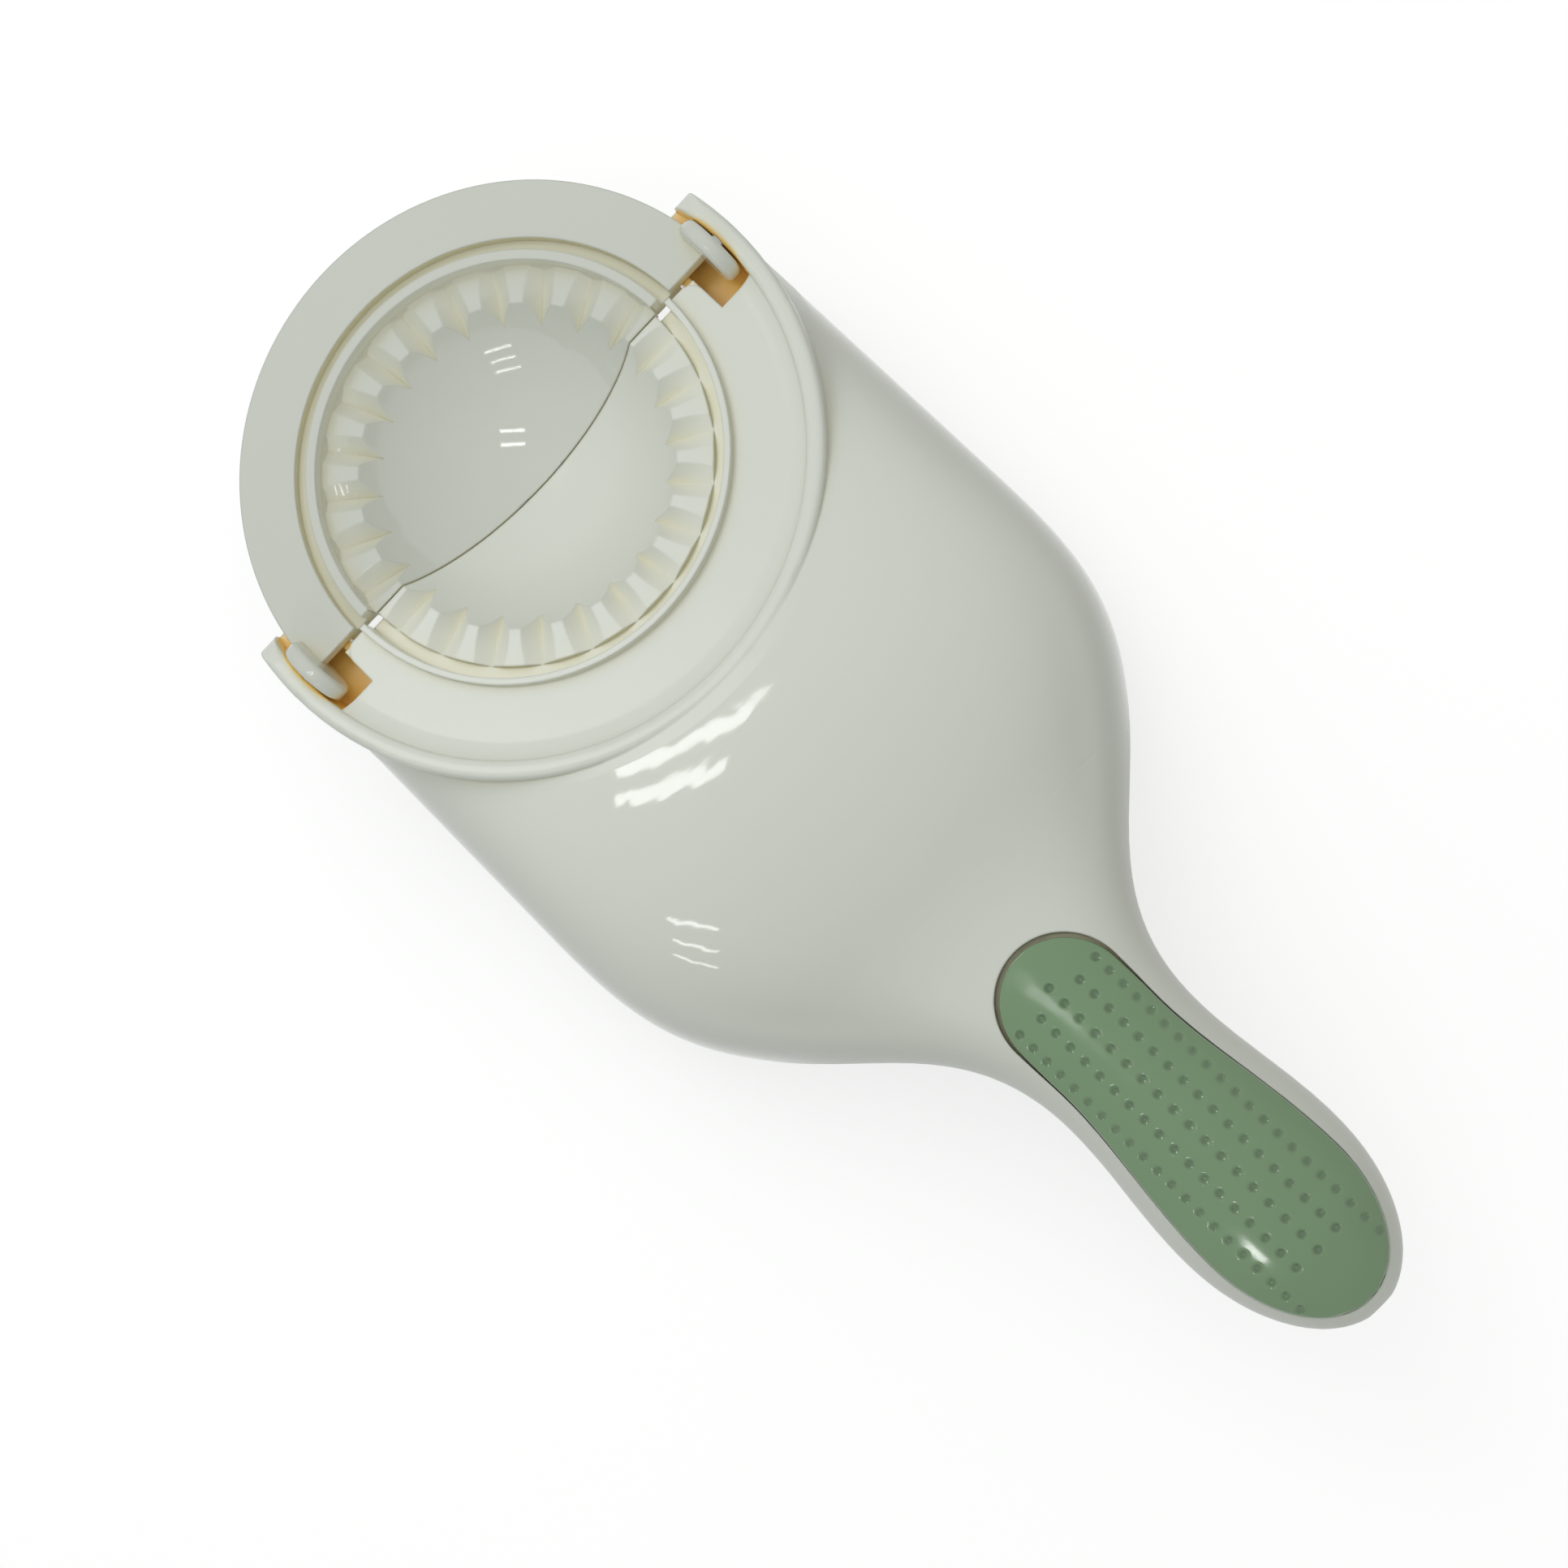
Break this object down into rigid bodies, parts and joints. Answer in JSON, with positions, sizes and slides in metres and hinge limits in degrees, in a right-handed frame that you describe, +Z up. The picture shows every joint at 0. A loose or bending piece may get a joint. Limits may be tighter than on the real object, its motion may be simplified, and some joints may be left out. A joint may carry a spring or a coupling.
{
  "type": "empanada press",
  "caption": "Hand-held empanada press: hollow body with a handle and half a round mould, and a hinged flap with the other half that folds over to seal and crimp the dough",
  "frame": {"origin": "middle of the whole press's plan rectangle, on the ground plane that the base stands on", "axes": "+X from the flap to the end of the handle, +Z up out of the open mould, Y along the hinge line"},
  "size_m": [0.2484, 0.1128, 0.0446],
  "materials": {
    "white_plastic": "smooth glossy moulded plastic, ivory white",
    "green_grip": "satin soft-touch plastic, sage green, with rows of small dimples",
    "steel": "plain turned steel"
  },
  "bodies": {
    "body": {"body_shell": "white_plastic", "base_cover": "white_plastic", "grip_inlay": "green_grip", "hinge_pin_left": "steel", "hinge_pin_right": "steel", "cover_screws": "steel"},
    "flap": {"front_mould": "white_plastic"}
  },
  "joints": [
    {"name": "mould_hinge", "type": "hinge", "parent": "body", "child": "flap", "pos_m": [-0.07445, 0, 0.0383], "axis": [0, 1, 0], "range_deg": [0, 180]}
  ]
}
